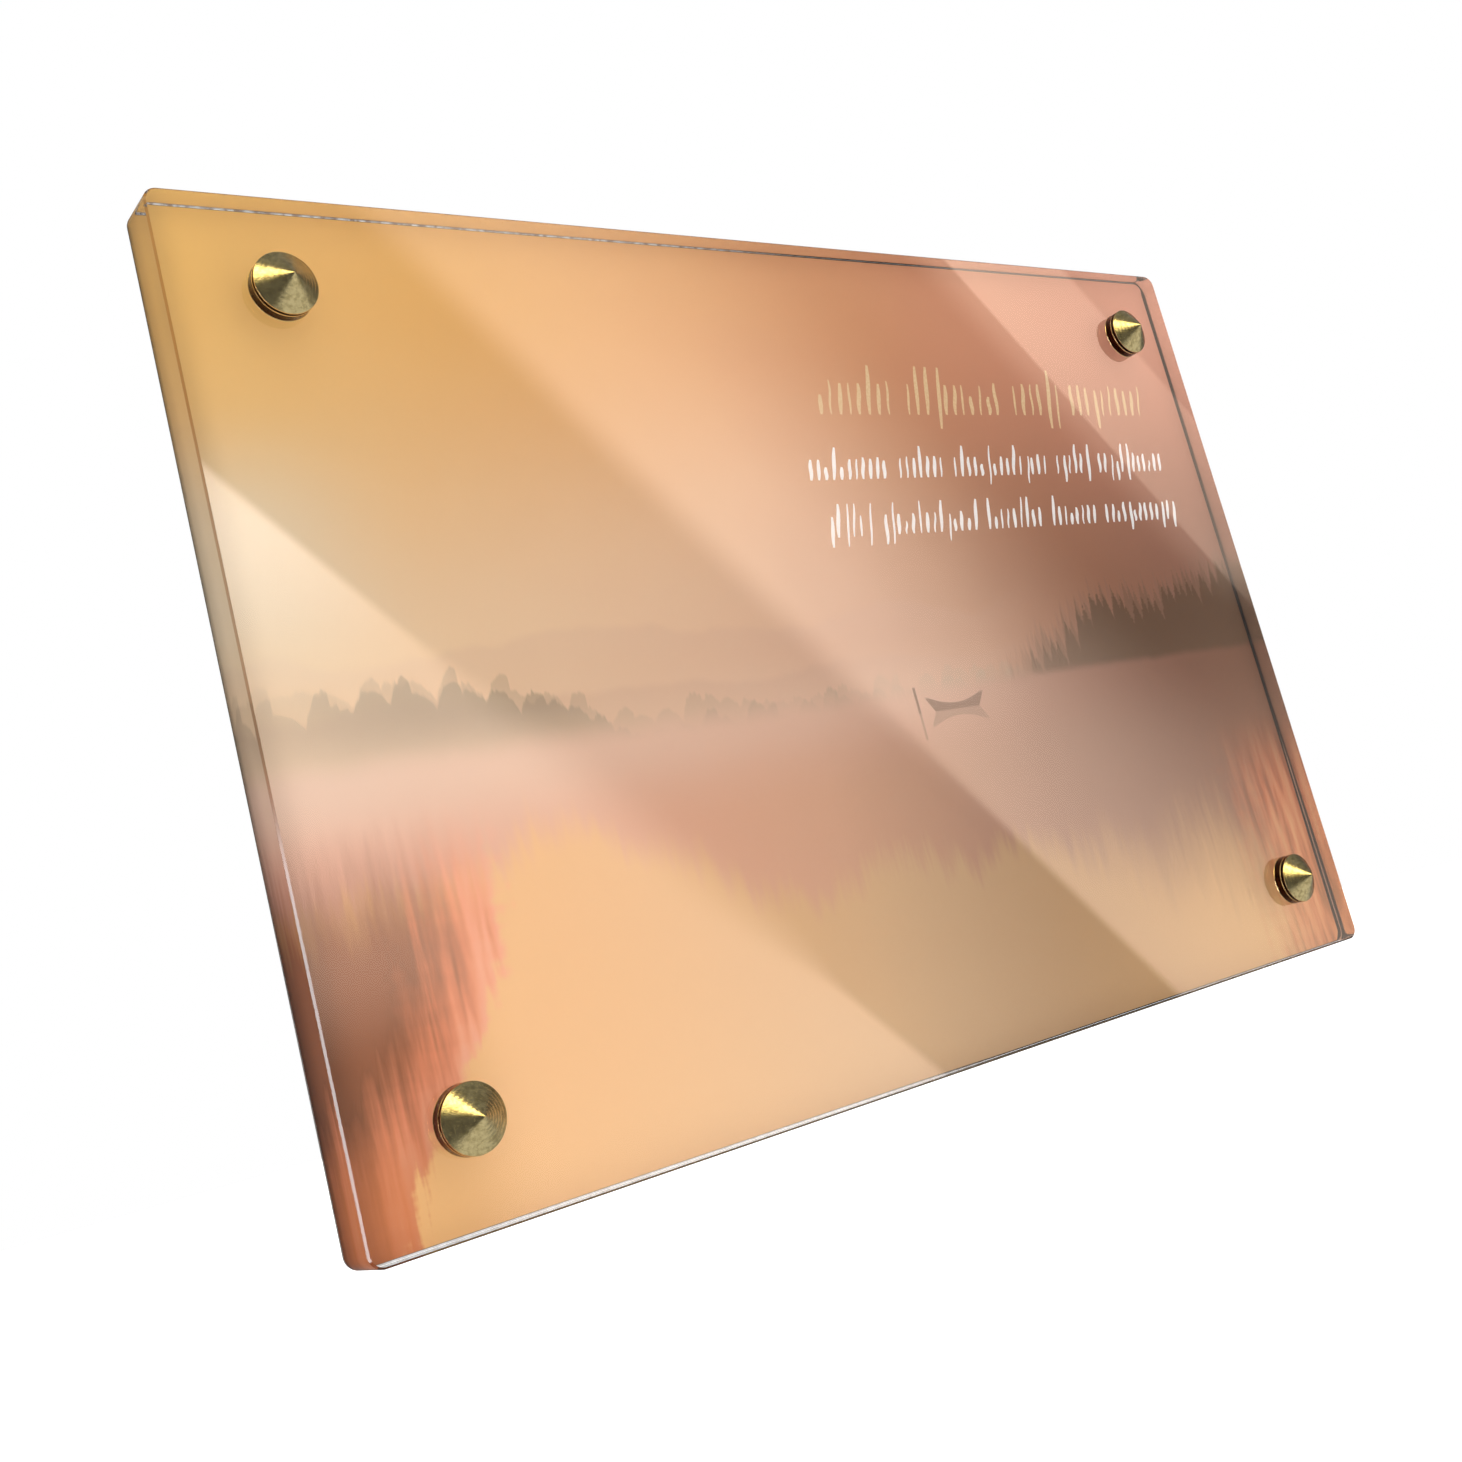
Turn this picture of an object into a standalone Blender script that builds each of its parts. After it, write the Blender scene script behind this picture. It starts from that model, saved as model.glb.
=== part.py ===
"""Commemorative wall plaque: a clear acrylic panel with rounded corners and polished edges, a printed
film bonded to its back, and four two-part brass screw caps with conical tops, one near each corner.

Metres, +Z up, +X along the width. The front faces -Y, and the origin is the middle of the back face,
which goes against the wall.
"""

import math

import bpy
import bmesh

OBJECT_NAME = "commemorative_plaque"

# Clear panel
PANEL_WIDTH = 0.300
PANEL_HEIGHT = 0.200
PANEL_THICKNESS = 0.010
CORNER_RADIUS = 0.003
PANEL_CHAMFER = 0.0004

# Printed film behind the panel
FILM_THICKNESS = 0.0005
FILM_MARGIN = 0.0003

# Screw caps: a turned base disc on the panel's face, and a conical cap on top of it
CAP_DIAMETER = 0.013
CAP_INSET_SIDE = 0.023
CAP_INSET_END = 0.020
BASE_HEIGHT = 0.0020
SKIRT_HEIGHT = 0.0006
CONE_HEIGHT = 0.00435
CAP_CHAMFER = 0.00015

# Pieces that rest on each other stay this far apart
SEAT_GAP = 0.0003

# Facets
CORNER_STEPS = 10
TURNED_STEPS = 48
MERGE_DISTANCE = 0.00001
CHAMFER_ANGLE = math.radians(40)
SMOOTH_ANGLE = math.radians(20)

# Distances in front of the back face, worked out from the sizes above
FILM_MIDDLE = FILM_THICKNESS / 2
PANEL_MIDDLE = FILM_THICKNESS + SEAT_GAP + PANEL_THICKNESS / 2
BASE_SEAT = FILM_THICKNESS + SEAT_GAP + PANEL_THICKNESS + SEAT_GAP
CONE_SEAT = BASE_SEAT + BASE_HEIGHT + SEAT_GAP

LEVELS = {"upper": 1, "lower": -1}
SIDES = {"left": -1, "right": 1}


def clear_scene():
    for item in list(bpy.data.objects):
        bpy.data.objects.remove(item, do_unlink=True)


def new_material(name, colour, roughness, metallic=0.0, transmission=0.0, ior=1.5):
    material = bpy.data.materials.new(name)
    material.use_nodes = True
    shader = material.node_tree.nodes["Principled BSDF"]
    shader.inputs["Base Color"].default_value = (*colour, 1.0)
    shader.inputs["Roughness"].default_value = roughness
    shader.inputs["Metallic"].default_value = metallic
    shader.inputs["Transmission Weight"].default_value = transmission
    shader.inputs["IOR"].default_value = ior
    return material


def add_object(name, mesh, material, collection):
    item = bpy.data.objects.new(name, mesh)
    collection.objects.link(item)
    item.data.materials.append(material)
    return item


def block_mesh(name, width, thickness, height):
    """A block around the origin, with a bevel weight on the four edges that run from front to back."""
    bm = bmesh.new()
    bmesh.ops.create_cube(bm, size=1.0)
    bmesh.ops.scale(bm, vec=(width, thickness, height), verts=bm.verts)
    weight = bm.edges.layers.float.new("bevel_weight_edge")
    for edge in bm.edges:
        start, end = (vertex.co for vertex in edge.verts)
        edge[weight] = float(start.x == end.x and start.z == end.z)
    mesh = bpy.data.meshes.new(name)
    bm.to_mesh(mesh)
    bm.free()
    return mesh


def add_bevel(item, name, width, segments, limit):
    bevel = item.modifiers.new(name, "BEVEL")
    bevel.limit_method = limit
    bevel.angle_limit = CHAMFER_ANGLE
    bevel.width = width
    bevel.segments = segments
    return bevel


def add_panel(collection):
    """The clear sheet: rounded corners first, then a fine chamfer around both faces."""
    mesh = block_mesh("acrylic_panel", PANEL_WIDTH, PANEL_THICKNESS, PANEL_HEIGHT)
    clear = new_material("clear_acrylic", (0.97, 0.98, 0.98), 0.03, transmission=1.0, ior=1.49)
    panel = add_object("acrylic_panel", mesh, clear, collection)
    panel.location.y = -PANEL_MIDDLE
    add_bevel(panel, "rounded_corners", CORNER_RADIUS, CORNER_STEPS, "WEIGHT")
    add_bevel(panel, "polished_chamfer", PANEL_CHAMFER, 1, "ANGLE")


def add_film(collection):
    """The printed film: the panel's outline drawn in by the margin."""
    width = PANEL_WIDTH - 2 * FILM_MARGIN
    height = PANEL_HEIGHT - 2 * FILM_MARGIN
    mesh = block_mesh("printed_film", width, FILM_THICKNESS, height)
    printed = new_material("printed_film", (0.76, 0.48, 0.27), 0.45)
    film = add_object("printed_film", mesh, printed, collection)
    film.location.y = -FILM_MIDDLE
    add_bevel(film, "rounded_corners", CORNER_RADIUS - FILM_MARGIN, CORNER_STEPS, "WEIGHT")


def turned_mesh(name, profile, collection):
    """Turns a profile of (radius, height) points about Z. It runs from the top down the outer side."""
    outline = bpy.data.meshes.new(name + "_profile")
    points = [(radius, 0.0, height) for radius, height in profile]
    outline.from_pydata(points, [(n, n + 1) for n in range(len(points) - 1)], [])
    blank = bpy.data.objects.new(name + "_blank", outline)
    collection.objects.link(blank)
    screw = blank.modifiers.new("turn", "SCREW")
    screw.axis = "Z"
    screw.steps = TURNED_STEPS
    screw.render_steps = TURNED_STEPS
    screw.use_merge_vertices = True
    screw.merge_threshold = MERGE_DISTANCE
    turned = blank.evaluated_get(bpy.context.evaluated_depsgraph_get())
    mesh = bpy.data.meshes.new_from_object(turned)
    mesh.name = name
    mesh.shade_smooth()
    mesh.set_sharp_from_angle(angle=SMOOTH_ANGLE)
    bpy.data.objects.remove(blank)
    bpy.data.meshes.remove(outline)
    return mesh


def base_profile():
    """A low disc with both rims broken by a fine chamfer."""
    radius = CAP_DIAMETER / 2
    return [
        (0.0, BASE_HEIGHT),
        (radius - CAP_CHAMFER, BASE_HEIGHT),
        (radius, BASE_HEIGHT - CAP_CHAMFER),
        (radius, CAP_CHAMFER),
        (radius - CAP_CHAMFER, 0.0),
        (0.0, 0.0),
    ]


def cone_profile():
    """A sharp cone over a short skirt."""
    radius = CAP_DIAMETER / 2
    return [
        (0.0, SKIRT_HEIGHT + CONE_HEIGHT),
        (radius - CAP_CHAMFER, SKIRT_HEIGHT),
        (radius, SKIRT_HEIGHT - CAP_CHAMFER),
        (radius, CAP_CHAMFER),
        (radius - CAP_CHAMFER, 0.0),
        (0.0, 0.0),
    ]


def add_cap_parts(kind, profile, material, seat, collection):
    """Four equal turned pieces, one near each corner, standing on a seat this far in front of the back."""
    mesh = turned_mesh(kind, profile, collection)
    mesh.materials.append(material)
    for level, upward in LEVELS.items():
        for side, outward in SIDES.items():
            piece = bpy.data.objects.new(f"{kind}_{level}_{side}", mesh)
            collection.objects.link(piece)
            piece.location.x = outward * (PANEL_WIDTH / 2 - CAP_INSET_SIDE)
            piece.location.y = -seat
            piece.location.z = upward * (PANEL_HEIGHT / 2 - CAP_INSET_END)
            piece.rotation_euler.x = math.radians(90)


def main():
    clear_scene()
    parts = bpy.data.collections.new(OBJECT_NAME)
    bpy.context.scene.collection.children.link(parts)
    add_film(parts)
    add_panel(parts)
    base_brass = new_material("brass_cap_base", (0.42, 0.31, 0.14), 0.22, metallic=1.0)
    cone_brass = new_material("brass_cap_cone", (0.62, 0.50, 0.24), 0.28, metallic=1.0)
    add_cap_parts("cap_base", base_profile(), base_brass, BASE_SEAT, parts)
    add_cap_parts("cap_cone", cone_profile(), cone_brass, CONE_SEAT, parts)


main()
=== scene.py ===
import math
import random

import bmesh
import bpy
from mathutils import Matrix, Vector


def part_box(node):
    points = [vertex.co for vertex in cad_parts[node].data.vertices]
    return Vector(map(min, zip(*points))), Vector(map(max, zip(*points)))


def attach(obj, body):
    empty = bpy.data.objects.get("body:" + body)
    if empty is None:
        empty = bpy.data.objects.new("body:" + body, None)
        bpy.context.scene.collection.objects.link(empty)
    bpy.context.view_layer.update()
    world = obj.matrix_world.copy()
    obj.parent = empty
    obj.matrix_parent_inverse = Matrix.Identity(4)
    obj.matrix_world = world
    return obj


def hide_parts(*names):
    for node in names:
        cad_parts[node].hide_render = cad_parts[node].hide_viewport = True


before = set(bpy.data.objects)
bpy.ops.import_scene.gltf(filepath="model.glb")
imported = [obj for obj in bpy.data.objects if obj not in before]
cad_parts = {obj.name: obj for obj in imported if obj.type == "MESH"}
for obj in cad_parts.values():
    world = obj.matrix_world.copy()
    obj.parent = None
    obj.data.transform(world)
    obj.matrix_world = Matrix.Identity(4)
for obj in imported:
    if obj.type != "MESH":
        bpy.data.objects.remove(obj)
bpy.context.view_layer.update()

BODY = "root"
MM = 0.001

# Planes and outlines, read from the frame. The front faces -Y.
PANEL_LOW, PANEL_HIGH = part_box("acrylic_panel")
FILM_LOW, FILM_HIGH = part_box("printed_film")
PANEL_FRONT = PANEL_LOW.y
FILM_FRONT = FILM_LOW.y
FILM_BACK = FILM_HIGH.y
HALF_WIDTH = PANEL_HIGH.x
HALF_HEIGHT = PANEL_HIGH.z
CORNER_RADIUS = 3.0 * MM

# Panel edges
PANEL_ARRIS = 0.4 * MM
PANEL_BOND = 0.1 * MM
FILM_MARGIN = 0.05 * MM
FILM_SOFT_EDGE = 0.1 * MM
CORNER_STEPS = 24
SHARP_PANEL_EDGE = math.radians(20)

# Camera, at the photograph's viewing angle
CAMERA_PLACE = (-0.2647, -0.2851, -0.0672)
CAMERA_TURN = (99.394, 14.362, -36.349)
CAMERA_LENS = 40.977
CAMERA_SENSOR = 36.0
CAMERA_SHIFT_Y = -0.0212

# Studio
LIGHT_STRENGTH = 1.8
FLOOR_LEVEL = -0.35
FLOOR_SIZE = 12.0
FLOOR_TONE = 0.8
FLOOR_GLOW = 0.4


class Formula:
    """A number that shader nodes work out. Arithmetic on it adds the nodes."""

    def __init__(self, painter, socket):
        self.painter = painter
        self.socket = socket

    def __add__(self, other):
        return self.painter.math("ADD", self, other)

    def __radd__(self, other):
        return self.painter.math("ADD", other, self)

    def __sub__(self, other):
        return self.painter.math("SUBTRACT", self, other)

    def __rsub__(self, other):
        return self.painter.math("SUBTRACT", other, self)

    def __mul__(self, other):
        return self.painter.math("MULTIPLY", self, other)

    def __rmul__(self, other):
        return self.painter.math("MULTIPLY", other, self)

    def __truediv__(self, other):
        return self.painter.math("DIVIDE", self, other)

    def __abs__(self):
        return self.painter.math("ABSOLUTE", self)

    def highest(self, other):
        return self.painter.math("MAXIMUM", self, other)

    def lowest(self, other):
        return self.painter.math("MINIMUM", self, other)


class Painter:
    """Adds nodes to one node tree."""

    def __init__(self, tree):
        self.tree = tree

    def node(self, kind, **settings):
        node = self.tree.nodes.new(kind)
        for name, value in settings.items():
            setattr(node, name, value)
        return node

    def feed(self, socket, value):
        if isinstance(value, Formula):
            self.tree.links.new(value.socket, socket)
        elif isinstance(value, bpy.types.NodeSocket):
            self.tree.links.new(value, socket)
        elif socket.type == "RGBA":
            socket.default_value = (*value, 1.0)
        else:
            socket.default_value = value

    def math(self, operation, *values):
        node = self.node("ShaderNodeMath", operation=operation)
        for socket, value in zip(node.inputs, values):
            self.feed(socket, value)
        return Formula(self, node.outputs[0])

    def parts(self, vector):
        node = self.node("ShaderNodeSeparateXYZ")
        self.feed(node.inputs[0], vector)
        return [Formula(self, part) for part in node.outputs]

    def place(self):
        """The object's own x, y and z, in millimetres."""
        coordinates = self.node("ShaderNodeTexCoord")
        return [part * (1 / MM) for part in self.parts(coordinates.outputs["Object"])]

    def vector(self, x, y=0.0, z=0.0):
        node = self.node("ShaderNodeCombineXYZ")
        for socket, value in zip(node.inputs, (x, y, z)):
            self.feed(socket, value)
        return node.outputs[0]

    def ease(self, value, start, end, low=0.0, high=1.0):
        """A smooth step from low to high as value goes from start to end."""
        node = self.node("ShaderNodeMapRange", interpolation_type="SMOOTHSTEP")
        settings = {"Value": value, "From Min": start, "From Max": end, "To Min": low, "To Max": high}
        for name, item in settings.items():
            self.feed(node.inputs[name], item)
        return Formula(self, node.outputs["Result"])

    def noise(self, x, y=0.0, z=0.0, detail=2.0, roughness=0.5):
        """Smooth noise from 0 to 1, about one bump for each unit."""
        node = self.node("ShaderNodeTexNoise")
        self.feed(node.inputs["Vector"], self.vector(x, y, z))
        node.inputs["Scale"].default_value = 1.0
        node.inputs["Detail"].default_value = detail
        node.inputs["Roughness"].default_value = roughness
        return Formula(self, node.outputs[0])

    def cells(self, along):
        """Cells of uneven width along a line: the distance to a cell's middle, and its own number."""
        node = self.node("ShaderNodeTexVoronoi", voronoi_dimensions="1D")
        self.feed(node.inputs["W"], along)
        node.inputs["Scale"].default_value = 1.0
        return Formula(self, node.outputs["Distance"]), self.parts(node.outputs["Color"])[0]

    def mix(self, share, one, other, blend="MIX"):
        node = self.node("ShaderNodeMix", data_type="RGBA", blend_type=blend)
        factor, first, second = (node.inputs[n] for n in (0, 6, 7))
        self.feed(factor, share)
        self.feed(first, one)
        self.feed(second, other)
        return node.outputs[2]

    def dim(self, share, one):
        return self.mix(1.0, one, self.vector(share, share, share), "MULTIPLY")

    def ramp(self, value, start, end, *stops):
        """A run of colours as value goes from start to end. Each stop is a place and a colour."""
        node = self.node("ShaderNodeValToRGB")
        node.color_ramp.interpolation = "CARDINAL"
        elements = node.color_ramp.elements
        for _ in stops[2:]:
            elements.new(0.5)
        for element, (place, tone) in zip(elements, stops):
            element.position = (place - start) / (end - start)
            element.color = (*tone, 1.0)
        self.feed(node.inputs[0], (value - start) * (1 / (end - start)))
        return node.outputs["Color"]


def linear(level):
    """One display level from 0 to 255 as linear light."""
    share = level / 255
    return share / 12.92 if share <= 0.04045 else ((share + 0.055) / 1.055) ** 2.4


def colour(red, green, blue):
    return tuple(linear(level) for level in (red, green, blue))


# A print bonded to clear acrylic shows this share of the red, green and blue light that falls on it.
# The share is highest in red, because the print traps light and is mostly red.
SEEN_SHARES = (0.545, 0.495, 0.445)
MOST_INK = 0.97


def ink(*levels):
    """The ink for a colour that is seen through the panel, given as display levels."""
    seen = zip(colour(*levels), SEEN_SHARES)
    return tuple(min(MOST_INK, level / (LIGHT_STRENGTH * share)) for level, share in seen)


def new_material(name):
    material = bpy.data.materials.new(name)
    material.use_nodes = True
    return material, Painter(material.node_tree), material.node_tree.nodes["Principled BSDF"]


# Clear plastic: the slab, and its cut edges and arris, tinted darker as painted shade
ACRYLIC_IOR = 1.49
CLEAR_TINT = (1.0, 1.0, 1.0)
CUT_EDGE_PAINTED_SHADE = (0.66, 0.63, 0.62)
ARRIS_PAINTED_SHADE = (0.34, 0.22, 0.16)
LOWER_ARRIS_PAINTED_SHADE = (0.04, 0.045, 0.04)


def clear_acrylic(name, tint):
    """Polished, see-through plastic. The tint is the share of light that each passage lets through."""
    material, _, shader = new_material(name)
    shader.inputs["Base Color"].default_value = (*tint, 1.0)
    shader.inputs["Transmission Weight"].default_value = 1.0
    shader.inputs["IOR"].default_value = ACRYLIC_IOR
    shader.inputs["Roughness"].default_value = 0.0
    return material


# The picture: dawn over a lake. Places are millimetres from the panel's middle, and tones are display
# levels as seen.
SHORE = -13.0
LEFT_END, CENTRE_LEFT, CENTRE_RIGHT, RIGHT_END = -150.0, -20.0, 50.0, 150.0
MIST_TONE = (232, 200, 172)
HAZE_TONE = (218, 208, 184)

# Tones across the picture's width, at the four places above
TONE_PLACES = (LEFT_END, CENTRE_LEFT, CENTRE_RIGHT, RIGHT_END)
SKY_HIGH = ((228, 174, 94), (221, 162, 108), (206, 142, 104), (212, 144, 116))
SKY_LOW = ((234, 198, 154), (218, 175, 142), (170, 122, 93), (140, 96, 76))
WATER_FAR = ((226, 184, 156), (216, 170, 142), (165, 120, 98), (126, 87, 66))
WATER_ROSY = ((226, 164, 136), (212, 162, 130), (162, 120, 98), (132, 92, 70))
WATER_NEAR = ((240, 179, 112), (217, 174, 130), (190, 148, 106), (222, 170, 110))

# The far ridges: seed, level, rise, share and tone
HILLS = (
    (3.0, 3.0, 30.0, 0.18, (196, 156, 136)),
    (11.0, -8.0, 24.0, 0.22, (182, 142, 122)),
)

# The broad-leaved wood's rows: seed, lift and share
BROAD_ROWS = ((2.0, 2.5, 0.34), (9.0, 0.0, 0.62))
BROAD_SPACING = 5.5
BROAD_HEIGHT = 7.0
BROAD_TONE = (152, 134, 110)

# The firs' rows from the far one to the near one: seed, spacing, lift, height, share and tone
FIR_ROWS = (
    (5.0, 1.9, 4.6, 7.5, 0.40, (138, 100, 80)),
    (31.0, 2.3, 2.4, 7.0, 0.60, (122, 90, 69)),
    (47.0, 3.1, 0.0, 6.5, 0.86, (104, 77, 57)),
)

# The hanging reflections: places along a depth, and their tones
LEFT_STREAKS = (
    (0.0, (236, 158, 122)), (0.3, (226, 136, 98)), (0.58, (192, 112, 78)), (0.9, (142, 82, 56)),
)
LEFT_STREAKS_FOOT = (208, 114, 62)
RIGHT_STREAKS = ((0.3, (142, 78, 48)), (0.5, (198, 114, 74)), (0.7, (212, 144, 98)))

# The boat and its mooring post
BOAT_PLACE = (27.0, -19.0)
BOAT_HALF_LENGTH = 7.5
BOAT_SIDE = 1.6
BOAT_TONE = (112, 82, 65)
POST_OFFSET = 1.7 * BOAT_HALF_LENGTH
POST_HEIGHT = 6.5


def ink_stops(stops):
    return [(place, ink(*tone)) for place, tone in stops]


def across(p, x, tones):
    """Four tones that follow each other over the picture's width."""
    return p.ramp(x, LEFT_END, RIGHT_END, *ink_stops(zip(TONE_PLACES, tones)))


def paint_sky(p, x, z):
    return p.mix(p.ease(z, 2.0, 88.0), across(p, x, SKY_LOW), across(p, x, SKY_HIGH))


def below_line(p, height, line, soft=0.5):
    """1 below the line, 0 above it."""
    return p.ease(height - line, soft, -soft)


def paint_hills(p, x, z, sky):
    """Two soft ridges far away, which fade out on the right."""
    for seed, level, rise, share, tone in HILLS:
        line = (p.noise(x / 52.0, seed, detail=3.0) - 0.35) * rise + level
        misty = p.ease(z, SHORE, line + 2.0, 0.1, share) * p.ease(x, 70.0, 25.0)
        sky = p.mix(below_line(p, z, line, 1.2) * misty, sky, ink(*tone))
    return sky


def rounded_trees(p, x, seed, spacing, tall):
    """The skyline of broad-leaved trees: uneven domes with leafy edges."""
    distance, number = p.cells(x / spacing + seed)
    dome = (number * 0.6 + 0.4) * (1.0 - distance * distance * 1.5)
    leaves = p.noise(x / 1.2, seed, detail=4.0, roughness=0.75) - 0.5
    return dome * tall + leaves * 5.0


def pointed_trees(p, x, z, seed, spacing, tall):
    """The skyline of firs: spikes of uneven height, with ragged sides."""
    distance, number = p.cells(x / spacing + seed)
    ragged = (p.noise(x / 0.9, z / 0.5, seed, detail=2.0) - 0.5) * 0.7
    return (number * 0.7 + 0.3 - (distance + ragged) * 1.5) * tall


def paint_left_wood(p, x, z, sky):
    """A wooded point in the mist on the left."""
    slope = p.ease(x, -58.0, -112.0, -17.0, -4.0)
    for seed, lift, share in BROAD_ROWS:
        line = slope + lift + rounded_trees(p, x, seed, BROAD_SPACING, BROAD_HEIGHT)
        line = line + (p.noise(x / 19.0, seed) - 0.5) * 8.0
        misty = p.ease(z, SHORE - 1.0, -5.0, 0.55, 1.0) * p.ease(x, LEFT_END, -112.0, 0.55, 1.0) * share
        sky = p.mix(below_line(p, z, line) * misty, sky, ink(*BROAD_TONE))
    return sky


def paint_right_wood(p, x, z, sky):
    """A dark bank with firs on the right."""
    hill = p.ease(x, 36.0, 92.0, -18.0, 0.0) + (p.noise(x / 16.0, 7.0) - 0.5) * 7.0
    hill = hill + p.ease(x, 112.0, 145.0, 0.0, 7.0)
    start = p.ease(x, 34.0, 66.0)
    for seed, spacing, lift, tall, share, tone in FIR_ROWS:
        line = hill + lift + pointed_trees(p, x, z, seed, spacing, tall)
        sky = p.mix(below_line(p, z, line) * start * share, sky, ink(*tone))
    return sky


def paint_water(p, x, z):
    """Rosy water far away, then the sky's gold on the near water, between ragged upright edges."""
    line = p.ease(x, -92.0, -28.0, -31.0, -51.0) - p.ease(x, -96.0, -122.0, 0.0, 6.0)
    line = line - p.ease(x, -30.0, 140.0, 0.0, 12.0)
    broad = p.noise(x / 22.0, z / 80.0, 3.0, detail=2.0) - 0.5
    narrow = p.noise(x / 2.2, z / 34.0, 5.0, detail=4.0, roughness=0.65) - 0.5
    edge = z - line + broad * 24.0 + narrow * 20.0
    soft = p.ease(x, 30.0, 108.0, 7.0, 26.0)
    reached = p.ease(edge, soft * 0.5, 0.0 - soft)
    distant = p.mix(p.ease(z, -16.0, -36.0), across(p, x, WATER_FAR), across(p, x, WATER_ROSY))
    return p.mix(reached, distant, across(p, x, WATER_NEAR))


def paint_streaks(p, x, z, water):
    """Rust-red reflections hang down at the lower left and, smaller, at the lower right."""
    narrow = p.noise(x / 3.4, z / 34.0, 8.0, detail=3.0, roughness=0.6) - 0.5
    steps = p.noise(x / 9.0, z / 2.4, 2.0, detail=2.0) - 0.5
    edge = p.ease(z, -44.0, -100.0, -105.0, -136.0)
    depth = (edge - x) / 25.0 + narrow * 0.6 + steps * 0.2
    left = p.ease(depth, -0.02, 0.1) * p.ease(z + narrow * 22.0, -22.0, -48.0)
    uneven = depth + (p.noise(x / 2.0, z / 30.0, 12.0, detail=4.0) - 0.5) * 1.1
    tone = p.ramp(uneven, 0.0, 1.0, *ink_stops(LEFT_STREAKS))
    tone = p.mix(p.ease(z, -74.0, -92.0) * 0.7, tone, ink(*LEFT_STREAKS_FOOT))
    water = p.mix(left * 0.94, water, tone)
    reach = x + narrow * 34.0 + steps * 10.0
    right = p.ease(reach, 112.0, 142.0) * p.ease(z, -30.0, -58.0)
    rust = p.ramp(p.noise(x / 3.0, z / 24.0, 17.0, detail=3.0), 0.3, 0.7, *ink_stops(RIGHT_STREAKS))
    return p.mix(right * 0.8, water, rust)


def paint_boat(p, x, z, picture):
    """A small rowing boat by its mooring post, with their soft reflections."""
    beside = abs(x - BOAT_PLACE[0])
    above = z - BOAT_PLACE[1]
    height = abs(above)
    ends = p.ease(BOAT_HALF_LENGTH - beside + height * 0.7, -0.15, 0.15)
    rail = p.ease(BOAT_SIDE + beside * beside * 0.025 - height, -0.12, 0.12)
    post_side = abs(x - (BOAT_PLACE[0] - POST_OFFSET))
    post = p.ease(post_side, 0.5, 0.3) * p.ease(height, POST_HEIGHT + 0.1, POST_HEIGHT - 0.1)
    share = (ends * rail * p.ease(height, 4.0, 3.0)).highest(post) * p.ease(above, -0.2, 0.2, 0.4, 0.85)
    return p.mix(share, picture, ink(*BOAT_TONE))


def paint_picture(p, x, z):
    """Sky and land above the shore, water below it, mist along it, and haze on the far left."""
    drift = p.noise(x / 60.0, z / 45.0, 1.0, detail=2.0) - 0.5
    sky = paint_sky(p, x + drift * 26.0, z + drift * 12.0)
    sky = paint_hills(p, x, z, sky)
    sky = paint_left_wood(p, x, z, sky)
    sky = paint_right_wood(p, x, z, sky)
    water = paint_water(p, x, z)
    water = paint_streaks(p, x, z, water)
    bank = (p.noise(x / 16.0, 9.0, detail=3.0) - 0.5) * 4.0
    soft = p.ease(x, -20.0, 90.0, 3.4, 1.4)
    picture = p.mix(p.ease(z + bank, soft + SHORE, SHORE - soft), sky, water)
    mist = p.ease(abs(z - SHORE + drift * 8.0), 15.0, 0.0) * p.ease(x, 70.0, 0.0) * 0.22
    picture = p.mix(mist, picture, ink(*MIST_TONE))
    haze = p.ease(x, -104.0, -146.0) * p.ease(abs(z - 27.0), 34.0, 6.0) * 0.45
    picture = p.mix(haze, picture, ink(*HAZE_TONE))
    return paint_boat(p, x, z, picture)


# The bare line along the print's edge, and where its wide right-hand stretch starts and ends. Its pale
# part is a painted reflection.
LINE_WIDTH = 0.32
LINE_WIDTH_LOW_LEFT = 0.5
LINE_WIDTH_RIGHT = (0.8, 1.6)
LINE_SOFTNESS = 0.05
RIGHT_STRETCH_START = (146.4, 148.2)
RIGHT_STRETCH_TOP = (98.6, 96.0)
LEFT_STRETCH_START = (-148.5, -146.0)
LINE_GREY = (32, 27, 25)
LINE_BROWN = (128, 104, 84)
LINE_REFLECTION_PALE = (240, 236, 230)
LINE_SPLIT = (186, 132, 102)


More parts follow.
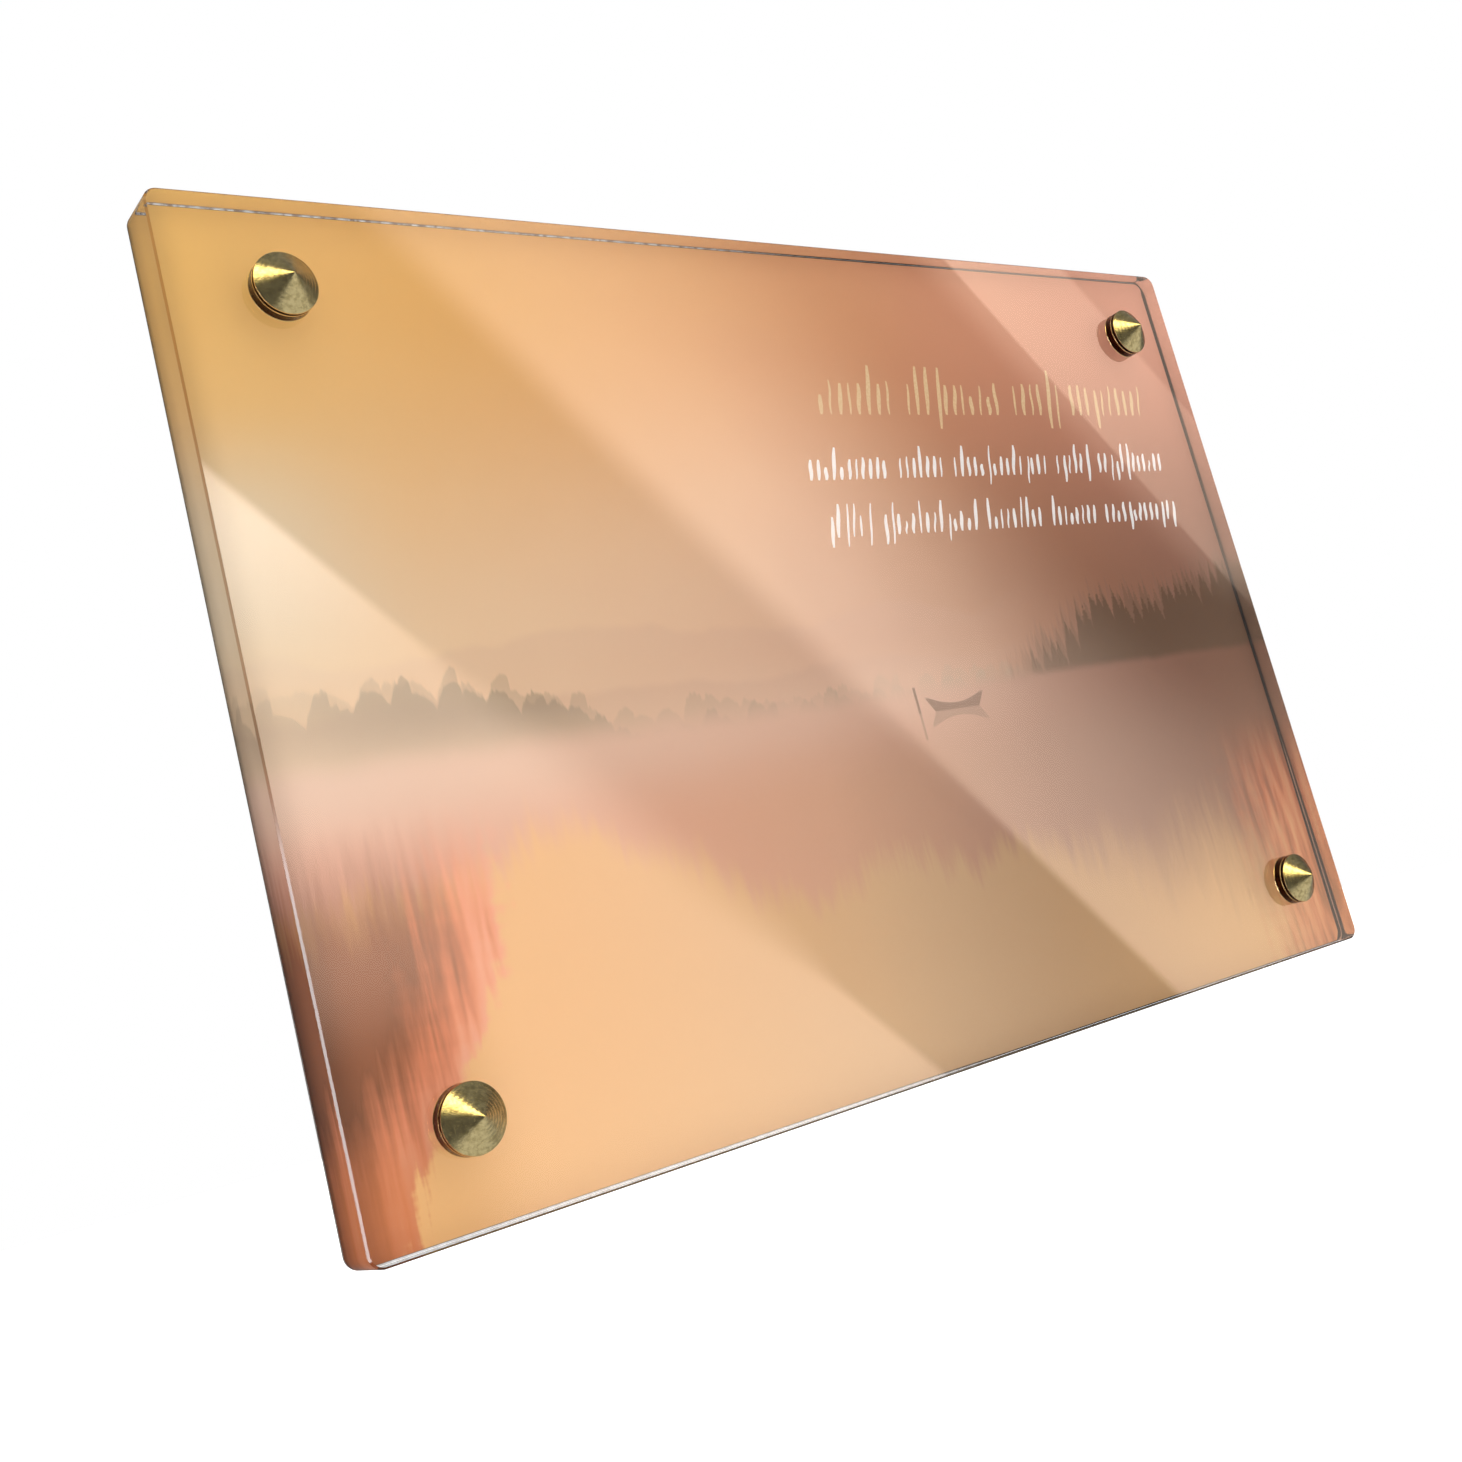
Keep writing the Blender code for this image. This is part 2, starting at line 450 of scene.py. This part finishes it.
def paint_border(p, x, z, picture):
    """Where the ink stops short of the panel's edge: barely along the top and bottom, further at the
    right, and not at all on the upper left.
    The line is grey on the right and brown on the left. Its outer part on the left is pale and
    speckled, a painted reflection of the bright studio."""
    radius = CORNER_RADIUS / MM
    past_x = (abs(x) - (HALF_WIDTH / MM - radius)).highest(0.0)
    past_z = (abs(z) - (HALF_HEIGHT / MM - radius)).highest(0.0)
    inset = radius - p.math("SQRT", past_x * past_x + past_z * past_z)
    at_right = p.ease(x, *RIGHT_STRETCH_START) * p.ease(z, *RIGHT_STRETCH_TOP)
    side_width = p.ease(z, -20.0, -95.0, *LINE_WIDTH_RIGHT)
    low_left = p.ease(z, 0.0, -60.0) * p.ease(x, 20.0, -20.0)
    width = p.ease(x, *LEFT_STRETCH_START, 0.0, LINE_WIDTH) + (side_width - LINE_WIDTH) * at_right
    width = width + low_left * (LINE_WIDTH_LOW_LEFT - LINE_WIDTH)
    speckle = p.ease(p.noise(x * 0.5, z * 0.5, 4.0, detail=3.0), 0.42, 0.58) * (1.0 - low_left * 0.8)
    # Painted reflection: a pale, speckled tone that stands in for the bright studio seen at the edge
    painted_reflection = p.mix(speckle, ink(*LINE_REFLECTION_PALE), ink(*LINE_BROWN))
    outer = p.ease(inset - low_left * 0.2, 0.24, 0.14) * p.ease(x, 20.0, -40.0)
    dark = p.mix(p.ease(x, 60.0, -60.0), ink(*LINE_GREY), ink(*LINE_BROWN))
    tone = p.mix(outer, dark, painted_reflection)
    split = p.ease(inset, 0.28, 0.16) * at_right * p.ease(z, -38.0, -52.0)
    tone = p.mix(split, tone, ink(*LINE_SPLIT))
    return p.mix(p.ease(inset - width, LINE_SOFTNESS, -LINE_SOFTNESS), picture, tone)


# Painted shade darkens the print towards the panel's left edge: a narrow shade in a broad one, and one
# low down
SHADE_DARKEST = 0.42
SHADE_MIDDLE = 0.8
SHADE_NARROW = 2.7
SHADE_BROAD_START = 1.5
SHADE_BROAD_END = 9.0
LOW_SHADE = 0.36
LOW_SHADE_WIDTH = 12.0


def painted_left_edge_shade(p, x, z):
    """The share of the print's tone that the painted shade leaves."""
    edge = -HALF_WIDTH / MM
    narrow = p.ease(x, edge, edge + SHADE_NARROW, SHADE_DARKEST, SHADE_MIDDLE)
    broad = p.ease(x, edge + SHADE_BROAD_START, edge + SHADE_BROAD_END, 1.0, 1.0 / SHADE_MIDDLE)
    low = p.ease(x, edge + LOW_SHADE_WIDTH, edge) * p.ease(z, 10.0, -70.0, 0.0, LOW_SHADE)
    return narrow * broad * (1.0 - low)


def printed_picture():
    material, p, shader = new_material("printed_picture")
    x, _, z = p.place()
    # The print is dimmed by the painted shade along its left edge.
    picture = p.dim(painted_left_edge_shade(p, x, z), paint_picture(p, x, z))
    picture = paint_border(p, x, z, picture)
    grain = p.noise(x * 0.8, z * 0.8, detail=3.0) * 0.016 + 0.992
    p.feed(shader.inputs["Base Color"], p.dim(grain, picture))
    shader.inputs["Roughness"].default_value = 0.6
    shader.inputs["Specular IOR Level"].default_value = 0.0
    return material


def film_back(name, light, dark):
    """The plain film, as on its back and its cut edge, with a fine grain."""
    material, p, shader = new_material(name)
    x, y, z = p.place()
    grain = p.noise(x * 2.0, y * 2.0, z * 2.0, detail=4.0)
    p.feed(shader.inputs["Base Color"], p.mix(grain, colour(*light), colour(*dark)))
    shader.inputs["Roughness"].default_value = 0.55
    return material


def brass(name, light, dark, roughness, bump_strength):
    """Turned brass, a little tarnished in patches, with a fine uneven grain."""
    material, p, shader = new_material(name)
    x, y, z = p.place()
    patches = p.noise(x * 0.9, y * 0.9, z * 0.9, detail=5.0, roughness=0.65)
    tone = p.mix(p.ease(patches, 0.38, 0.68), colour(*light), colour(*dark))
    p.feed(shader.inputs["Base Color"], tone)
    shader.inputs["Metallic"].default_value = 1.0
    p.feed(shader.inputs["Roughness"], patches * 0.12 + roughness)
    bump = p.node("ShaderNodeBump")
    bump.inputs["Strength"].default_value = bump_strength
    bump.inputs["Distance"].default_value = 0.05 * MM
    p.feed(bump.inputs["Height"], p.noise(x * 3.4, y * 3.4, z * 3.4, detail=2.0))
    p.feed(shader.inputs["Normal"], bump.outputs["Normal"])
    return material


def rounded_outline(inset):
    """Points round the panel's outline, drawn in by inset, as (x, z)."""
    radius = CORNER_RADIUS - inset
    points = []
    for quarter, (side, level) in enumerate(((1, 1), (-1, 1), (-1, -1), (1, -1))):
        for step in range(CORNER_STEPS + 1):
            angle = math.radians(90) * (quarter + step / CORNER_STEPS)
            points.append((
                side * (HALF_WIDTH - CORNER_RADIUS) + radius * math.cos(angle),
                level * (HALF_HEIGHT - CORNER_RADIUS) + radius * math.sin(angle),
            ))
    return points


def stacked_rings(name, rings):
    """A closed mesh through rings of equal length, with a flat face over the first and the last."""
    bm = bmesh.new()
    loops = [[bm.verts.new(point) for point in ring] for ring in rings]
    count = len(loops[0])
    for one, other in zip(loops, loops[1:]):
        for n in range(count):
            bm.faces.new((one[n], one[(n + 1) % count], other[(n + 1) % count], other[n]))
    bm.faces.new(loops[0])
    bm.faces.new(loops[-1])
    bmesh.ops.recalc_face_normals(bm, faces=bm.faces)
    mesh = bpy.data.meshes.new(name)
    bm.to_mesh(mesh)
    bm.free()
    mesh.shade_smooth()
    mesh.set_sharp_from_angle(angle=SHARP_PANEL_EDGE)
    return mesh


def add_piece(name, mesh, materials, replaced=()):
    piece = bpy.data.objects.new(name, mesh)
    bpy.context.scene.collection.objects.link(piece)
    for material in materials:
        mesh.materials.append(material)
    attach(piece, BODY)
    if replaced:
        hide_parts(*replaced)
    return piece


CLEAR, CUT_EDGE, ARRIS, LOWER_ARRIS = range(4)


def panel_face_kind(face):
    """Which of the panel's materials a face takes."""
    if abs(face.normal.y) > 0.9:
        return CLEAR
    if abs(face.normal.y) < 0.1:
        return CUT_EDGE
    return LOWER_ARRIS if face.normal.z < -0.6 else ARRIS


def add_panel():
    """The clear slab, with a narrow arris round its front. Its back lies just inside the film's face,
    so that the two are bonded."""
    back = FILM_FRONT + PANEL_BOND
    levels = ((PANEL_ARRIS, PANEL_FRONT), (0.0, PANEL_FRONT + PANEL_ARRIS), (0.0, back))
    rings = [[(x, y, z) for x, z in rounded_outline(inset)] for inset, y in levels]
    mesh = stacked_rings("clear_panel", rings)
    for face in mesh.polygons:
        face.material_index = panel_face_kind(face)
    # The cut edges and the arris take darker tints as painted shade. The lower arris is nearly black.
    materials = [
        clear_acrylic("clear_acrylic", CLEAR_TINT),
        clear_acrylic("cut_edge", CUT_EDGE_PAINTED_SHADE),
        clear_acrylic("arris", ARRIS_PAINTED_SHADE),
        clear_acrylic("lower_arris", LOWER_ARRIS_PAINTED_SHADE),
    ]
    return add_piece("clear_panel", mesh, materials, ["acrylic_panel"])


PRINT, BACKING, FILM_EDGE = range(3)
BACKING_TONES = ((170, 169, 166), (156, 154, 150))
FILM_EDGE_TONES = ((92, 82, 68), (74, 64, 54))


def film_face_kind(face):
    """Which of the film's materials a face takes."""
    if abs(face.normal.y) < 0.9:
        return FILM_EDGE
    return PRINT if face.normal.y < 0.0 else BACKING


def add_film():
    """The film. Its front carries the print, and its back has a fine chamfer."""
    levels = (
        (FILM_MARGIN, FILM_FRONT),
        (FILM_MARGIN, FILM_BACK - FILM_SOFT_EDGE),
        (FILM_MARGIN + FILM_SOFT_EDGE, FILM_BACK),
    )
    rings = [[(x, y, z) for x, z in rounded_outline(inset)] for inset, y in levels]
    mesh = stacked_rings("picture_film", rings)
    for face in mesh.polygons:
        face.material_index = film_face_kind(face)
    materials = [
        printed_picture(),
        film_back("white_backing", *BACKING_TONES),
        film_back("film_edge", *FILM_EDGE_TONES),
    ]
    return add_piece("picture_film", mesh, materials, ["printed_film"])


# Turned caps. The lowest ring touches the panel.
TURNED_STEPS = 160
SHARP_TURNED_EDGE = math.radians(28)
CONE_RINGS = 70
CONE_SKIRT = 0.6 * MM
RIM = 0.06 * MM
RIM_HEIGHT = 0.15 * MM
GROOVE_PITCH = 0.8 * MM
GROOVE_DEPTH = 0.009 * MM
SEAM_LEVEL = 1.95 * MM
SEAM_BEAD = 0.3 * MM
NECK = 0.4 * MM
FOOT = 0.2 * MM
# Satin is the brass's own tone. The shaded band is a darker copy of it as painted shade, and the glint
# band a lighter copy as painted highlights.
SATIN, SHADED_BAND, GLINT_BAND = range(3)
SATIN_TONES = ((220, 202, 148), (186, 168, 116))
SHADED_BAND_TONES = ((58, 32, 20), (40, 20, 13))
GLINT_BAND_TONES = ((240, 214, 160), (220, 188, 136))


def turned_mesh(name, profile, centre, seat):
    """Turns (radius, height, material) points about the cap's axis. Heights rise from the seat towards
    -Y. A point's material is that of the band that starts there."""
    bm = bmesh.new()

    def spot(radius, height, step):
        angle = 2 * math.pi * step / TURNED_STEPS
        x = centre[0] + radius * math.cos(angle)
        z = centre[1] + radius * math.sin(angle)
        return (x, seat - height, z)

    rings = []
    for radius, height, _ in profile:
        steps = TURNED_STEPS if radius else 1
        rings.append([bm.verts.new(spot(radius, height, n)) for n in range(steps)])
    for one, other, (_, _, band_look) in zip(rings, rings[1:], profile):
        for n in range(TURNED_STEPS):
            m = (n + 1) % TURNED_STEPS
            corners = [one[n % len(one)], one[m % len(one)]]
            corners += [other[m % len(other)], other[n % len(other)]]
            bm.faces.new(list(dict.fromkeys(corners))).material_index = band_look
    bmesh.ops.recalc_face_normals(bm, faces=bm.faces)
    mesh = bpy.data.meshes.new(name)
    bm.to_mesh(mesh)
    bm.free()
    mesh.shade_smooth()
    mesh.set_sharp_from_angle(angle=SHARP_TURNED_EDGE)
    return mesh


def cone_profile(radius, height):
    """A sharp cone with shallow lathe grooves, over a short skirt in painted shade with a rim as a
    painted highlight.
    """
    slope = height - CONE_SKIRT
    profile = [(0.0, height, SATIN)]
    for ring in range(1, CONE_RINGS):
        share = ring / CONE_RINGS
        groove = GROOVE_DEPTH * math.sin(2 * math.pi * share * radius / GROOVE_PITCH)
        profile.append(((radius - RIM) * share, height - slope * share - groove, SATIN))
    profile += [
        (radius - RIM, CONE_SKIRT, GLINT_BAND), (radius, CONE_SKIRT - RIM_HEIGHT, SHADED_BAND),
        (radius, RIM_HEIGHT, SHADED_BAND), (radius - RIM, 0.0, SHADED_BAND), (0.0, 0.0, SHADED_BAND),
    ]
    return profile


def base_profile(radius, height):
    """A collar in painted shade, with a foot and a bead as painted highlights, and a narrower neck
    under the cone.
    """
    half_bead = SEAM_BEAD / 2
    return [
        (0.0, height, SHADED_BAND), (radius - NECK, height, SHADED_BAND),
        (radius - NECK, SEAM_LEVEL + SEAM_BEAD, SHADED_BAND),
        (radius - RIM, SEAM_LEVEL + SEAM_BEAD, GLINT_BAND),
        (radius, SEAM_LEVEL + half_bead, GLINT_BAND), (radius - RIM, SEAM_LEVEL, SHADED_BAND),
        (radius - RIM, FOOT, GLINT_BAND), (radius, FOOT / 2, GLINT_BAND), (radius - RIM, 0.0, SHADED_BAND),
        (0.0, 0.0, SHADED_BAND),
    ]


def add_cap(level, hand, brass_looks):
    """One cap: its base from the panel up to the cone, and the cone on it."""
    base_low, base_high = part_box(f"cap_base_{level}_{hand}")
    cone_low, cone_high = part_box(f"cap_cone_{level}_{hand}")
    middle = (base_low + base_high) / 2
    centre = (middle.x, middle.z)
    radius = (base_high.x - base_low.x) / 2
    for part, seat, profile in (
        ("base", PANEL_FRONT, base_profile(radius, PANEL_FRONT - cone_high.y)),
        ("cone", cone_high.y, cone_profile(radius, cone_high.y - cone_low.y)),
    ):
        name = f"{part}_{level}_{hand}"
        mesh = turned_mesh(name, profile, centre, seat)
        piece = add_piece(name, mesh, brass_looks, [f"cap_{name}"])
        piece.visible_transmission = False


def add_caps():
    # Satin brass, then darker and lighter copies of it: painted shade and painted highlights
    brass_looks = [
        brass("satin_brass", *SATIN_TONES, roughness=0.12, bump_strength=0.5),
        brass("painted_shade_brass", *SHADED_BAND_TONES, roughness=0.2, bump_strength=0.1),
        brass("painted_highlight_brass", *GLINT_BAND_TONES, roughness=0.2, bump_strength=0.05),
    ]
    for level in ("upper", "lower"):
        for hand in ("left", "right"):
            add_cap(level, hand, brass_looks)


# Inscription: rows of leaning strokes, each a thin leaf of ink on the film's front. Leans are in
# degrees, and the other ranges and choices are shares of a low stroke's height or width.
STROKE_DEPTH = 0.05 * MM
STROKE_STEPS = 10
STROKE_LEAN = (11.0, 15.0)
STROKE_BOW = (-0.03, 0.03)
STROKE_PITCH = (0.34, 0.4)
STROKE_DROPS = (0.0, 0.0, 0.0, 0.0, 0.0, -0.45)
STROKE_HEIGHTS = (1.0, 0.9, 1.08, 1.0, 0.62, 1.6)
STROKE_WIDTHS = (1.0, 1.1, 0.6)
WORD_SPACE = 0.44
CREAM_TONES = ((228, 194, 146), (220, 182, 134))
WHITE_TONES = ((252, 246, 238), (244, 234, 222))
INSCRIPTION = (
    # start, end, baseline, low stroke height, stroke width, strokes in each word
    (9.0, 133.6, 57.6, 8.6, 1.25, (8, 11, 6, 10)),
    (0.0, 134.4, 40.6, 5.4, 0.9, (11, 7, 15, 6, 12)),
    (1.4, 134.4, 26.0, 5.4, 0.9, (6, 14, 9, 8, 13)),
)


def stroke_outline(x, z, length, lean, bow, width):
    """The outline of a tapered, slightly bent stroke that starts at x, z."""
    left, right = [], []
    for step in range(STROKE_STEPS + 1):
        share = step / STROKE_STEPS
        risen = share * length
        aside = bow * math.sin(2 * math.pi * share)
        half = 0.5 * width * math.sin(math.pi * (0.1 + 0.8 * share)) ** 0.6
        px = x + risen * math.sin(lean) + aside * math.cos(lean)
        pz = z + risen * math.cos(lean) - aside * math.sin(lean)
        left.append((px - half * math.cos(lean), pz + half * math.sin(lean)))
        right.append((px + half * math.cos(lean), pz - half * math.sin(lean)))
    return left + right[::-1]


def add_strokes(name, outlines, material):
    """One piece of many strokes, each a flat closed leaf that reaches a little into the film."""
    bm = bmesh.new()
    for outline in outlines:
        front = [bm.verts.new((x * MM, FILM_FRONT - STROKE_DEPTH, z * MM)) for x, z in outline]
        back = [bm.verts.new((x * MM, FILM_FRONT + STROKE_DEPTH / 2, z * MM)) for x, z in outline]
        bm.faces.new(front)
        bm.faces.new(back[::-1])
        for n in range(len(front)):
            m = (n + 1) % len(front)
            bm.faces.new((front[n], back[n], back[m], front[m]))
    bmesh.ops.recalc_face_normals(bm, faces=bm.faces)
    mesh = bpy.data.meshes.new(name)
    bm.to_mesh(mesh)
    bm.free()
    add_piece(name, mesh, [material])


def word_strokes(x, base, count, height, width):
    """One word: strokes of uneven length that lean alike and never touch. Returns it and its end."""
    outlines = []
    for _ in range(count):
        lean = math.radians(random.uniform(*STROKE_LEAN))
        bow = height * random.uniform(*STROKE_BOW)
        drop = height * random.choice(STROKE_DROPS)
        tall = height * random.choice(STROKE_HEIGHTS) - drop
        thick = width * random.choice(STROKE_WIDTHS)
        outlines.append(stroke_outline(x, base + drop, tall, lean, bow, thick))
        x += height * random.uniform(*STROKE_PITCH)
    return outlines, x


def ink_material(name, light, dark):
    material, p, shader = new_material(name)
    x, _, z = p.place()
    share = p.noise(x * 1.5, z * 1.5, detail=3.0)
    p.feed(shader.inputs["Base Color"], p.mix(p.ease(share, 0.3, 0.7), ink(*light), ink(*dark)))
    shader.inputs["Roughness"].default_value = 0.5
    shader.inputs["Specular IOR Level"].default_value = 0.0
    return material


def add_inscription():
    """Lays each row out from its start, then stretches it to reach its end."""
    cream = ink_material("cream_ink", *CREAM_TONES)
    white = ink_material("white_ink", *WHITE_TONES)
    for row, (start, end, base, height, width, words) in enumerate(INSCRIPTION, 1):
        outlines = []
        x = 0.0
        for count in words:
            strokes, x = word_strokes(x, base, count, height, width)
            outlines += strokes
            x += height * WORD_SPACE
        reach = max(point[0] for outline in outlines for point in outline)
        share = (end - start) / reach
        outlines = [[(start + px * share, pz) for px, pz in outline] for outline in outlines]
        add_strokes(f"inscription_row_{row}", outlines, cream if row == 1 else white)


def add_camera():
    camera = bpy.data.objects.new("camera", bpy.data.cameras.new("camera"))
    bpy.context.scene.collection.objects.link(camera)
    camera.location = CAMERA_PLACE
    camera.rotation_euler = [math.radians(turn) for turn in CAMERA_TURN]
    camera.data.lens = CAMERA_LENS
    camera.data.sensor_width = CAMERA_SENSOR
    camera.data.shift_y = CAMERA_SHIFT_Y
    camera.data.clip_start = 0.01
    bpy.context.scene.camera = camera


# The studio as polished surfaces mirror it. Bands of light lie where the panel mirrors them to the
# camera: a place on the panel stands for the direction from its mirrored eye. A place's slant is how
# far it lies across the bands, which run down to the right.
CAMERA_DEPTH = (PANEL_FRONT - CAMERA_PLACE[1]) / MM
LEAST_AHEAD = 0.05
GLARE_SLOPE = (0.753, 0.658)
GLARE_TINT = (1.0, 0.76, 0.59)
FIRST_BAND_WARM = 4.0
FIRST_BAND_NEUTRAL = 3.4
CORNER_GLOW = 0.9

# The dim room, the key light over it, and a thin strip for the panel's left arris
ROOM_LEVEL = 0.12
ROOM_CEILING = 0.12
ROOM_LOW_LIGHT = 0.55
KEY_SLOPE = (0.688, 0.444, 0.864)
KEY_OFFSET = 0.568
KEY_STRENGTH = 4.2
KEY_TINT = (1.0, 0.88, 0.5)
STRIP_SLOPE = (0.384, -0.922, 0.049)
STRIP_STRENGTH = 12.0


def first_band(p, x, z, slant):
    """The wedge of light on the far left. It fades out in the lower corner."""
    softness = p.ease(abs(z + 34.0), 46.0, 16.0) * 8.0
    band = p.ease(slant + z * 0.055, -79.5 + softness, -82.5 - softness)
    return band * (1.0 - p.ease(x, -112.0, -134.0) * p.ease(z, -48.0, -68.0) * 0.85)


def second_band(p, z, slant):
    """The broad middle band: it falls off slowly to the right, in another way above than below."""
    top = p.ease(slant, -20.0, -8.0) * p.ease(slant, 75.0, 0.0) * p.ease(z, 120.0, 40.0, 2.7, 4.5)
    low = p.ease(slant, -15.0, -11.0) * p.ease(slant, 80.0, -12.0, 0.9, 4.2)
    return p.ease(z, 0.0, -60.0) * (low - top) + top


def third_band(p, z, slant):
    """The band in the upper right, with a soft rise before its edge, and half as bright at its end."""
    turned = slant - z * 0.025
    band = p.ease(turned, 96.0, 110.5) * 0.35 + p.ease(turned, 109.0, 111.0) * 0.65
    band = band * p.ease(slant, 105.0, 150.0, 5.4, 3.6) * p.ease(slant, 147.0, 150.0, 1.0, 0.5)
    return band * p.ease(z, 20.0, 100.0, 0.5, 1.0) * p.ease(z, -8.0, 12.0)


def glare_bands(p, direction):
    """The slanting bands' brightness, warm and neutral."""
    x, y, z = direction
    ahead = (0.0 - y).highest(LEAST_AHEAD)
    x = x / ahead * CAMERA_DEPTH + CAMERA_PLACE[0] / MM
    z = z / ahead * CAMERA_DEPTH + CAMERA_PLACE[2] / MM
    here = p.ease(abs(x), 180.0, 162.0) * p.ease(abs(z), 135.0, 112.0)
    slant = x * GLARE_SLOPE[0] + z * GLARE_SLOPE[1]
    first = first_band(p, x, z, slant)
    corner = p.ease(x, -92.0, -124.0) * p.ease(z, 48.0, 76.0) * CORNER_GLOW
    warm = first * FIRST_BAND_WARM + second_band(p, z, slant) + third_band(p, z, slant) + corner
    neutral = first * p.ease(z, 6.0, 36.0) * FIRST_BAND_NEUTRAL
    return warm * here, neutral * here


def along(direction, slope):
    """How far a direction goes along a slope."""
    return direction[0] * slope[0] + direction[1] * slope[1] + direction[2] * slope[2]


def room_light(p, direction):
    """The dim room, lighter overhead and low on the right, with the strip."""
    x, y, z = direction
    low = p.ease(x * 0.6 - z, 0.2, 0.7) * p.ease(z, -0.1, -0.3, 0.3, 1.0)
    low = low * p.ease(y, 0.1, -0.25, 0.25, 1.0)
    strip = p.ease(abs(along(direction, STRIP_SLOPE)), 0.06, 0.035) * p.ease(z, 0.17, 0.1)
    strip = strip * p.ease(x, -0.7, -0.8)
    room = p.ease(z, 0.25, 0.7) * ROOM_CEILING + low * ROOM_LOW_LIGHT + ROOM_LEVEL
    return room + strip * STRIP_STRENGTH


def key_light(p, direction):
    """The key light in front, which ends sharply at the top and softly below."""
    x, y, _ = direction
    height = along(direction, KEY_SLOPE) + KEY_OFFSET
    key = p.ease(height, 0.94, 0.88) * p.ease(height, 0.1, 0.7, 0.0, KEY_STRENGTH)
    return key * p.ease(x, 0.36, 0.26) * p.ease(y, -0.1, -0.3)


def add_world():
    """Mirroring surfaces see the studio. Scattered light comes evenly from all around. What is seen
    directly, or through the clear plastic, is plain white."""
    world = bpy.data.worlds.new("studio")
    bpy.context.scene.world = world
    world.use_nodes = True
    world.cycles.sampling_method = "NONE"
    p = Painter(world.node_tree)
    path = p.node("ShaderNodeLightPath")
    mirrored = p.math("MULTIPLY", path.outputs["Is Glossy Ray"], path.outputs["Is Reflection Ray"])
    scattered = Formula(p, path.outputs["Diffuse Depth"]).lowest(1.0)
    plain = (scattered * (LIGHT_STRENGTH - 1.0) + 1.0) * (1.0 - mirrored)
    direction = p.parts(p.node("ShaderNodeTexCoord").outputs["Generated"])
    warm, neutral = glare_bands(p, direction)
    even = neutral + room_light(p, direction)
    key = key_light(p, direction)
    levels = []
    for glare_share, key_share in zip(GLARE_TINT, KEY_TINT):
        levels.append((warm * glare_share + key * key_share + even) * mirrored + plain)
    p.feed(world.node_tree.nodes["Background"].inputs["Color"], p.vector(*levels))


def add_floor():
    half = FLOOR_SIZE / 2
    corners = [(-half, -half), (half, -half), (half, half), (-half, half)]
    mesh = bpy.data.meshes.new("floor")
    mesh.from_pydata([(x, y, FLOOR_LEVEL) for x, y in corners], [], [(0, 1, 2, 3)])
    floor = bpy.data.objects.new("floor", mesh)
    bpy.context.scene.collection.objects.link(floor)
    material, _, shader = new_material("floor")
    mesh.materials.append(material)
    shader.inputs["Base Color"].default_value = (FLOOR_TONE, FLOOR_TONE, FLOOR_TONE, 1.0)
    shader.inputs["Emission Color"].default_value = (1.0, 1.0, 1.0, 1.0)
    shader.inputs["Emission Strength"].default_value = FLOOR_GLOW
    floor.visible_glossy = False


def set_colours():
    bpy.context.scene.view_settings.view_transform = "Standard"
    bpy.context.scene.view_settings.look = "None"


random.seed(3)
add_camera()
add_panel()
add_film()
add_inscription()
add_caps()
add_world()
add_floor()
set_colours()
